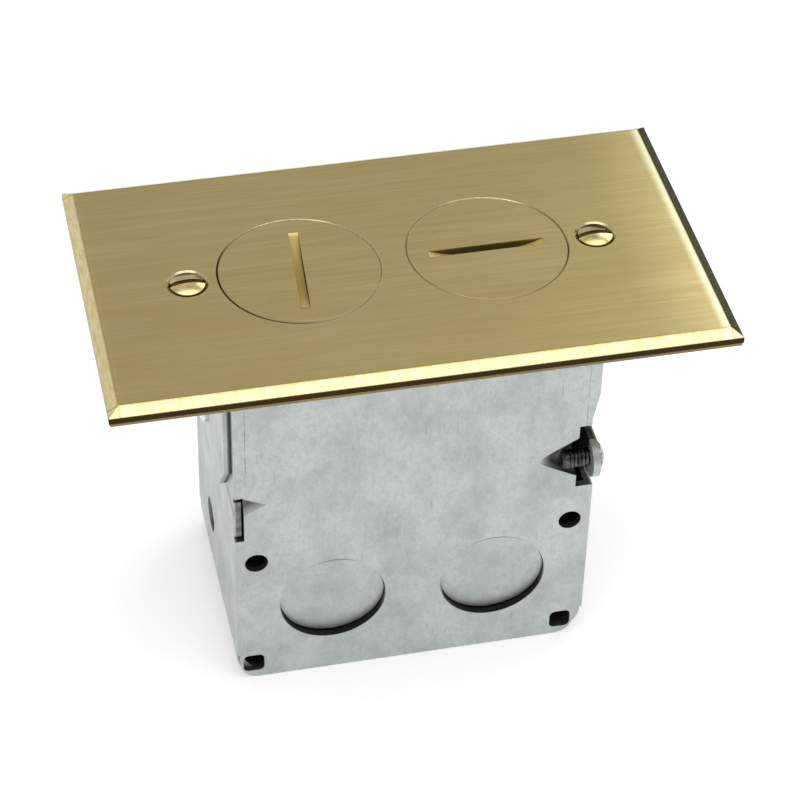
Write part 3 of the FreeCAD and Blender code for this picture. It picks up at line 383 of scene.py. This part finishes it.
def satin_brass(settings):
    """The cover: brushed along X, milled across its bevels, with a painted dark reflection on its upright edges
    and painted shade on one side of its seams.

    The strip beside the right bevel carries a painted highlight, and the ridges of the bevels are darker lines.
    """
    finish = Finish("satin brass", metallic=1.0)
    across = 1 / settings.line_width
    along = 1 / settings.line_length
    streaks, colour = brushed(finish, settings)
    x, y, _ = finish.split(finish.place)
    tilt = finish.split(finish.normal)["Z"]
    milled = finish.noise((across * 0.3, along * 4, along * 4), detail=3.0, roughness=0.7)
    bevel = finish.range(tilt, 0.97, 0.92)
    marks = finish.range(milled, 0.36, 0.60)
    colour = finish.mix(bevel, colour, finish.mix(marks, settings.pale, settings.bevel))
    # painted highlight on the strip beside the right bevel
    painted_highlight = finish.product(finish.range(x, CREST_X - PAINTED_HIGHLIGHT_WIDTH, CREST_X - PAINTED_HIGHLIGHT_FULL),
                            finish.range(x, CREST_X + PAINTED_HIGHLIGHT_EDGE, CREST_X), 0.9)
    colour = finish.mix(painted_highlight, colour, settings.painted_highlight)
    ridge = finish.greatest(band(finish, finish.magnitude(y), CREST_Y, *RIDGE_LINE),
                            band(finish, finish.magnitude(x), CREST_X, *RIDGE_LINE))
    colour = finish.mix(finish.product(ridge, 0.55), colour, settings.pocket)
    # painted dark reflection: the cover's upright faces are near black
    colour = finish.mix(finish.range(tilt, 0.5, 0.3), colour, settings.edge)
    colour = seam_shade_and_highlight(finish, settings, colour)
    rough = finish.range(streaks, 0.3, 0.7, settings.roughness + 0.07, settings.roughness - 0.07)
    rough = finish.range(bevel, 0, 1, rough, 0.24)
    return finish.into(Base_Color=colour, Roughness=rough, Normal=rolled_off(finish, streaks))


def plug_brass(settings):
    """The plugs: brushed as the cover is, with coin slots tarnished below their tops, walls painted darker as
    shade and beds lighter.
    """
    finish = Finish("plug brass", metallic=1.0)
    streaks, colour = brushed(finish, settings)
    x, y, _ = finish.split(finish.place)
    tilt = finish.split(finish.normal)["Z"]
    # painted shade: the chamfers take the plain base colour, which tones down their bright ring
    colour = finish.mix(finish.range(tilt, 0.9, 0.8), colour, settings.base)
    colour = seam_shade_and_highlight(finish, settings, colour)
    off_x = finish.maths("SUBTRACT", finish.magnitude(x), PLUG_MIDDLES["plug_right"].x)
    slot = finish.product(tarnish_depth(finish),
                          finish.range(finish.distance(off_x, y), SLOT_END + SLOT_FADE, SLOT_END))
    # painted shade: slot walls darker and slot beds lighter, as light falls into a slot
    wall, bed = shade(settings.pocket, 0.28), shade(settings.pocket, 1.5)
    colour = finish.mix(slot, colour, finish.mix(finish.range(tilt, 0.3, 0.6), wall, bed))
    metal = finish.range(slot, 0, 1, 1.0, 0.35)
    rough = finish.range(slot, 0, 1, settings.roughness, 0.6)
    return finish.into(
        Base_Color=colour, Metallic=metal, Roughness=rough, Normal=rolled_off(finish, streaks))


def polished_brass(settings):
    """Buffed brass of the cover screws: tarnished in the slot, with painted shade on the far slope of the dome.
    """
    finish = Finish("polished brass", metallic=1.0)
    swirl = finish.noise((500, 500, 500), detail=3.0)
    fine = finish.noise((2600, 2600, 2600))
    colour = finish.mix(finish.range(swirl, 0.35, 0.65), settings.pale, settings.polish)
    _, away, up = finish.split(finish.normal)
    # painted shade on the far slope of the dome, where it faces away and up
    dimming = finish.product(finish.range(away, 0.22, 0.27), finish.range(up, 0.3, 0.5), 0.9)
    colour = finish.mix(dimming, colour, settings.edge)
    slot = tarnish_depth(finish)
    colour = finish.mix(slot, colour, shade(settings.pocket, 0.6))
    rough = finish.range(swirl, 0.3, 0.7, 0.16, 0.28)
    metal = finish.range(slot, 0, 1, 1.0, 0.5)
    return finish.into(
        Base_Color=colour, Metallic=metal, Roughness=rough, Normal=finish.bump(fine, 0.000006, 0.5))


def rolled_brass(settings):
    """Thin rolled sheet for the contacts."""
    finish = Finish("rolled brass", metallic=1.0)
    grain = finish.noise((120, 2400, 2400))
    colour = finish.mix(grain, settings.sheet_grain, settings.sheet)
    rough = finish.range(grain, 0.3, 0.7, 0.24, 0.38)
    return finish.into(Base_Color=colour, Roughness=rough, Normal=finish.bump(grain, 0.000006, 0.5))


# ---------------------------------------------------------------- steel


def steel_shade_and_marks(finish, bracket):
    """How much painted shade and fold dots darken the folded steel, from 0 to 1.

    Painted shade lies in the lower half of the rings round the knockouts, under the brackets, in the dents
    at the panels' upper ends and on what is seen inside the box; darker dots run along the panels' folds.
    Cut edges are painted dark as shade too: on a bracket the part of them near the box, where they don't
    face along X or up, and elsewhere the walls of whatever is cut through the side panels.
    """
    x, y, z = finish.split(finish.place)
    normal = finish.split(finish.normal)
    span = finish.magnitude(x)
    depth = finish.maths("SUBTRACT", -PANEL_LOW.y, finish.magnitude(y))
    radius = (DISCS_HIGH.z - DISCS_LOW.z) / 2
    off_x = finish.maths("SUBTRACT", span, DISCS_HIGH.x - radius)
    off_z = finish.maths("SUBTRACT", z, (DISCS_LOW.z + DISCS_HIGH.z) / 2)
    # painted shadow in the lower half of the gap round each knockout
    ring = finish.product(band(finish, finish.distance(off_x, off_z), radius + RING_GAP, *RING_LINE),
                          finish.range(finish.maths("DIVIDE", off_z, radius), 0.2, -0.4))
    dots = finish.range(finish.noise((300, 300, 420)), 0.4, 0.6, 0.25, 1.0)
    fold = finish.product(band(finish, span, PANEL_HIGH.x - FOLD_INSET, *FOLD_LINE),
                          finish.range(z, *FOLD_RISE), dots, 0.5)
    # painted shadow along the wall under each bracket's lower edge
    under = finish.product(band(finish, z, BRACKET_LOW.z - UNDER_BRACKET, *UNDER_LINE),
                           band(finish, span, PANEL_HIGH.x, *CORNER_LINE), 0.6)
    # painted shade in the dents at the panels' upper ends
    dent = finish.product(finish.range(depth, *DENT_DEPTH), finish.range(z, *DENT_RISE),
                          inset(finish, span, *END_INSET), finish.range(dots, 0.25, 1.0, 0.6, 0.95))
    # painted shade on what is seen inside the box
    inside = finish.product(inset(finish, span, *INSIDE_INSET), finish.range(depth, *INSIDE_DEPTH), 0.85)
    # cut edges painted dark as shade: the brackets' edges near the box and the walls of cuts through the panels
    if bracket:
        near, clear = (PANEL_HIGH.x + reach for reach in BRACKET_EDGE)
        edges = finish.product(finish.range(finish.magnitude(normal["X"]), 0.5, 0.3),
                               finish.range(normal["Z"], 0.5, 0.2), finish.range(span, near, clear), 0.85)
    else:
        edges = finish.product(finish.range(finish.magnitude(normal["Y"]), 0.6, 0.3),
                               finish.range(depth, *CUT_DEPTH), inset(finish, span, *END_INSET),
                               finish.range(z, *CUT_RISE), 0.85)
    return finish.greatest(ring, fold, under, dent, inside, edges)


def zinc_coat(settings, name="zinc coat", bracket=False):
    """Hot-dipped zinc: cloudy mottle, faint crystals, specks, rolled scratches, dark dots along its folds, and
    painted shade in its seams, pockets, cut edges and inside.
    """
    finish = Finish(name, metallic=0.75)
    count = 1 / settings.spangle
    crystals = finish.split(finish.cells((count, count, count * 0.8)))["X"]
    cloud = finish.noise((110, 110, 80), detail=6.0, roughness=0.72)
    blotch = finish.noise((520, 520, 360), detail=4.0, roughness=0.75, shift=(1, 2, 3))
    fine = finish.noise((1700, 1700, 1200), detail=3.0, roughness=0.7)
    scratch = finish.range(finish.noise((2400, 2400, 150), roughness=0.7), 0.66, 0.76)
    speck = finish.range(
        finish.noise((760, 760, 520), detail=4.0, roughness=0.8, shift=(3, 5, 7)), 0.66, 0.74)
    tone = finish.total(finish.product(crystals, 0.07), finish.product(cloud, 0.93))
    low, high = shade(settings.base, 0.84), shade(settings.base, 1.14)
    colour = finish.mix(finish.range(tone, 0.25, 0.62), low, high)
    for factor, second in (
            (finish.range(blotch, 0.50, 0.66, 0.0, 0.5), low),
            (finish.range(blotch, 0.50, 0.34, 0.0, 0.4), high),
            (finish.range(fine, 0.50, 0.70, 0.0, 0.5), low),
            (finish.product(scratch, 0.45), settings.dark),
            (finish.product(speck, 0.5), settings.dark),
            # painted shade in rings, pockets, cut edges and inside, with dark dots along the folds
            (steel_shade_and_marks(finish, bracket), settings.dirt)):
        colour = finish.mix(factor, colour, second)
    rough = finish.range(tone, 0.3, 0.7, settings.roughness + 0.08, settings.roughness - 0.08)
    dents = finish.bump(cloud, 0.00015, 0.4)
    return finish.into(Base_Color=colour, Roughness=rough, Normal=finish.bump(fine, 0.000012, 0.6, dents))


def plated_steel(settings, name="zinc plate", dimming=0.66, shade_in_pocket=False):
    """Bright zinc plate on screws, rivets and the strap; dull is the tone of its darker blotches.

    A screw given painted pocket shade is black in its pocket, and bright only from the end wall outwards.
    """
    finish = Finish(name, metallic=1.0)
    mottle = finish.noise((700, 700, 700), detail=4.0, roughness=0.7)
    colour = finish.mix(finish.range(mottle, 0.35, 0.62), shade(settings.plate, dimming), settings.plate)
    if shade_in_pocket:
        # painted shade: black inside the pocket, fading to bright plate past the end wall
        span = finish.magnitude(finish.split(finish.place)["X"])
        pocket_shadow = finish.range(
            span, PANEL_HIGH.x + SCREW_LIT_FROM, PANEL_HIGH.x - SCREW_SHADED_FROM, 0.0, 0.85)
        colour = finish.mix(pocket_shadow, colour, settings.dirt)
    rough = finish.range(mottle, 0.3, 0.7, 0.34, 0.22)
    return finish.into(Base_Color=colour, Roughness=rough, Normal=finish.bump(mottle, 0.00002, 0.5))


def green_dye(settings):
    """The green finish of the ground screw, worn at its high spots."""
    finish = Finish("green screw", metallic=0.8)
    wear = finish.noise((900, 900, 900), detail=4.0)
    colour = finish.mix(
        finish.range(wear, 0.60, 0.85, 0.0, 0.6), settings.ground_green, settings.ground_worn)
    return finish.into(Base_Color=colour, Roughness=finish.range(wear, 0.3, 0.7, 0.3, 0.42))


# ---------------------------------------------------------------- plastic, rubber and floor


def moulded(name, colour, gloss):
    """Moulded plastic or rubber with a fine cast texture."""
    finish = Finish(name)
    grain = finish.noise((2600, 2600, 2600))
    cloud = finish.noise((60, 60, 60))
    lighter = tuple(min(1.0, part * 1.35 + 0.004) for part in colour)
    tone = finish.mix(finish.range(cloud, 0.3, 0.7), colour, lighter)
    rough = finish.range(grain, 0.3, 0.7, gloss - 0.05, gloss + 0.07)
    return finish.into(Base_Color=tone, Roughness=rough, Normal=finish.bump(grain, 0.000015, 0.35))


def studio_floor(settings):
    """The pale floor, with a trace of mottle."""
    finish = Finish("studio floor", roughness=0.7)
    cloud = finish.noise((6, 6, 6))
    return finish.into(
        Base_Color=finish.mix(cloud, shade(settings.floor, 0.99), settings.floor),
        Emission_Color=(1, 1, 1, 1), Emission_Strength=settings.floor_glow)


def dress(material, *names):
    """Gives CAD nodes one material all over."""
    for name in names:
        mesh = NODES[name].data
        for index in range(max(1, len(mesh.materials))):
            if index < len(mesh.materials):
                mesh.materials[index] = material
            else:
                mesh.materials.append(material)


# ---------------------------------------------------------------- operators


class DressCover(bpy.types.Operator):
    """Satin brass on the cover and its plugs, polished brass on its screws, rubber on its seals"""

    bl_idname = "floorbox.dress_cover"
    bl_label = "Dress the cover"

    def execute(self, context):
        brass = context.scene.floorbox_brass
        plastic = context.scene.floorbox_plastic
        dress(satin_brass(brass), "cover_plate")
        dress(plug_brass(brass), "plug_left", "plug_right")
        dress(polished_brass(brass), "cover_screw_left", "cover_screw_right")
        dress(moulded("rubber", plastic.rubber, 0.75), "cover_gasket", "plug_seal_left", "plug_seal_right")
        return {"FINISHED"}


class DressBox(bpy.types.Operator):
    """Zinc coat on the folded steel, bright plate on its screws, green dye on the ground screw"""

    bl_idname = "floorbox.dress_box"
    bl_label = "Dress the steel box"

    def execute(self, context):
        steel = context.scene.floorbox_steel
        dress(zinc_coat(steel), "box_body", "side_panel_front", "side_panel_rear",
              "knockouts_front", "knockouts_rear", "knockouts_bottom")
        dress(zinc_coat(steel, "zinc bracket", bracket=True), "ear_bracket_left", "ear_bracket_right")
        # gang screws: darker blotches, and painted shade in their pockets
        dress(plated_steel(steel, "grimy plate", 0.12, shade_in_pocket=True), "gang_screw_front", "gang_screw_rear")
        dress(plated_steel(steel), "ear_bracket_screws")
        dress(green_dye(context.scene.floorbox_plastic), "box_ground_screw")
        return {"FINISHED"}


class DressReceptacle(bpy.types.Operator):
    """Mouldings, contacts, strap, rivets and terminal screws of the receptacle"""

    bl_idname = "floorbox.dress_receptacle"
    bl_label = "Dress the receptacle"

    def execute(self, context):
        plastic = context.scene.floorbox_plastic
        dress(moulded("face moulding", plastic.face, 0.3), "receptacle_face")
        dress(moulded("base moulding", plastic.base, 0.5), "receptacle_base")
        dress(rolled_brass(context.scene.floorbox_brass),
              "hot_contact_strip", "neutral_contact_strip", "ground_strip", "hot_terminal_screws")
        dress(plated_steel(context.scene.floorbox_steel),
              "receptacle_yoke", "receptacle_rivets", "neutral_terminal_screws")
        return {"FINISHED"}


def softbox(name, place, target, size, brightness, colour):
    """An area light at place that points at target, as bright as its power over its area and pi."""
    data = bpy.data.lights.new(name, "AREA")
    data.shape = "RECTANGLE"
    data.size, data.size_y = size
    data.color = colour
    data.energy = brightness * math.pi * size[0] * size[1]
    light = bpy.data.objects.new(name, data)
    bpy.context.scene.collection.objects.link(light)
    aim = Vector(target) - Vector(place)
    light.visible_camera = False
    light.matrix_world = Matrix.Translation(place) @ aim.to_track_quat("-Z", "Y").to_matrix().to_4x4()


def flat_piece(name, corners, material):
    """A flat four-sided piece of the stage, in the scene."""
    mesh = bpy.data.meshes.new(name)
    mesh.from_pydata(corners, [], [(0, 1, 2, 3)])
    mesh.materials.append(material)
    piece = bpy.data.objects.new(name, mesh)
    bpy.context.scene.collection.objects.link(piece)
    return piece


class BuildStudio(bpy.types.Operator):
    """Pale floor, soft lights, a black card and the camera"""

    bl_idname = "floorbox.build_studio"
    bl_label = "Build the studio"

    def execute(self, context):
        studio = context.scene.floorbox_studio
        top = Vector((0, 0, COVER_HIGH.z))
        self.add_floor(studio)
        self.add_camera(context.scene, studio, top)
        world = bpy.data.worlds.new("studio")
        world.use_nodes = True
        world.node_tree.nodes["Background"].inputs["Color"].default_value = (1, 1, 1, 1)
        world.node_tree.nodes["Background"].inputs["Strength"].default_value = studio.world
        context.scene.world = world
        for name, (place, size, brightness, colour) in LIGHTS.items():
            softbox(name, place, top, size, brightness, colour)
        self.add_card(studio)
        context.scene.view_settings.view_transform = "Standard"
        return {"FINISHED"}

    def add_floor(self, studio):
        """A wide square a hair's breadth under the box, so that the two faces don't coincide."""
        sides = ((-1, -1), (1, -1), (1, 1), (-1, 1))
        corners = [(x * FLOOR_REACH, y * FLOOR_REACH, FLOOR_LEVEL) for x, y in sides]
        floor = flat_piece("floor", corners, studio_floor(studio))

    def add_card(self, studio):
        """A low black card behind to the right, which the cover's edges mirror and the camera can't see."""
        foot = [(x, y, 0.0) for x, y in CARD_FOOT]
        head = [(x, y, CARD_HEIGHT) for x, y in reversed(CARD_FOOT)]
        card = flat_piece("card", foot + head, moulded("card", studio.card, 0.8))
        card.visible_camera = False

    def add_camera(self, scene, studio, top):
        """A camera at the eye, turned by azimuth, elevation and roll."""
        data = bpy.data.cameras.new("camera")
        data.lens = studio.lens
        data.sensor_width = SENSOR_WIDTH
        data.clip_start = CLIP_START
        camera = bpy.data.objects.new("camera", data)
        scene.collection.objects.link(camera)
        heading = Matrix.Rotation(-studio.azimuth, 4, "Z")
        pitch = Matrix.Rotation(math.pi / 2 - studio.elevation, 4, "X")
        roll = Matrix.Rotation(studio.roll, 4, "Z")
        camera.matrix_world = Matrix.Translation(top + Vector(studio.eye)) @ (heading @ pitch) @ roll
        scene.camera = camera


class FloorBoxPanel(bpy.types.Panel):
    """The buttons and settings of the floor box"""

    bl_idname = "VIEW3D_PT_floorbox"
    bl_label = "Floor Socket Box"
    bl_space_type = "VIEW_3D"
    bl_region_type = "UI"
    bl_category = "Floor Box"

    def draw(self, context):
        for operator in OPERATORS:
            self.layout.operator(operator.bl_idname)
        for attribute, group in SETTINGS.items():
            column = self.layout.box().column()
            for name in group.__annotations__:
                column.prop(getattr(context.scene, attribute), name)


SETTINGS = {
    "floorbox_brass": BrassSettings,
    "floorbox_steel": SteelSettings,
    "floorbox_plastic": PlasticSettings,
    "floorbox_studio": StudioSettings,
}
OPERATORS = (DressCover, DressBox, DressReceptacle, BuildStudio)


def register():
    for group in (*SETTINGS.values(), *OPERATORS, FloorBoxPanel):
        bpy.utils.register_class(group)
    for attribute, group in SETTINGS.items():
        setattr(bpy.types.Scene, attribute, PointerProperty(type=group))


def unregister():
    for attribute in SETTINGS:
        delattr(bpy.types.Scene, attribute)
    for group in (FloorBoxPanel, *reversed(OPERATORS), *reversed(SETTINGS.values())):
        bpy.utils.unregister_class(group)


def main():
    register()
    bpy.ops.floorbox.dress_cover()
    bpy.ops.floorbox.dress_box()
    bpy.ops.floorbox.dress_receptacle()
    bpy.ops.floorbox.build_studio()


if __name__ == "__main__":
    main()
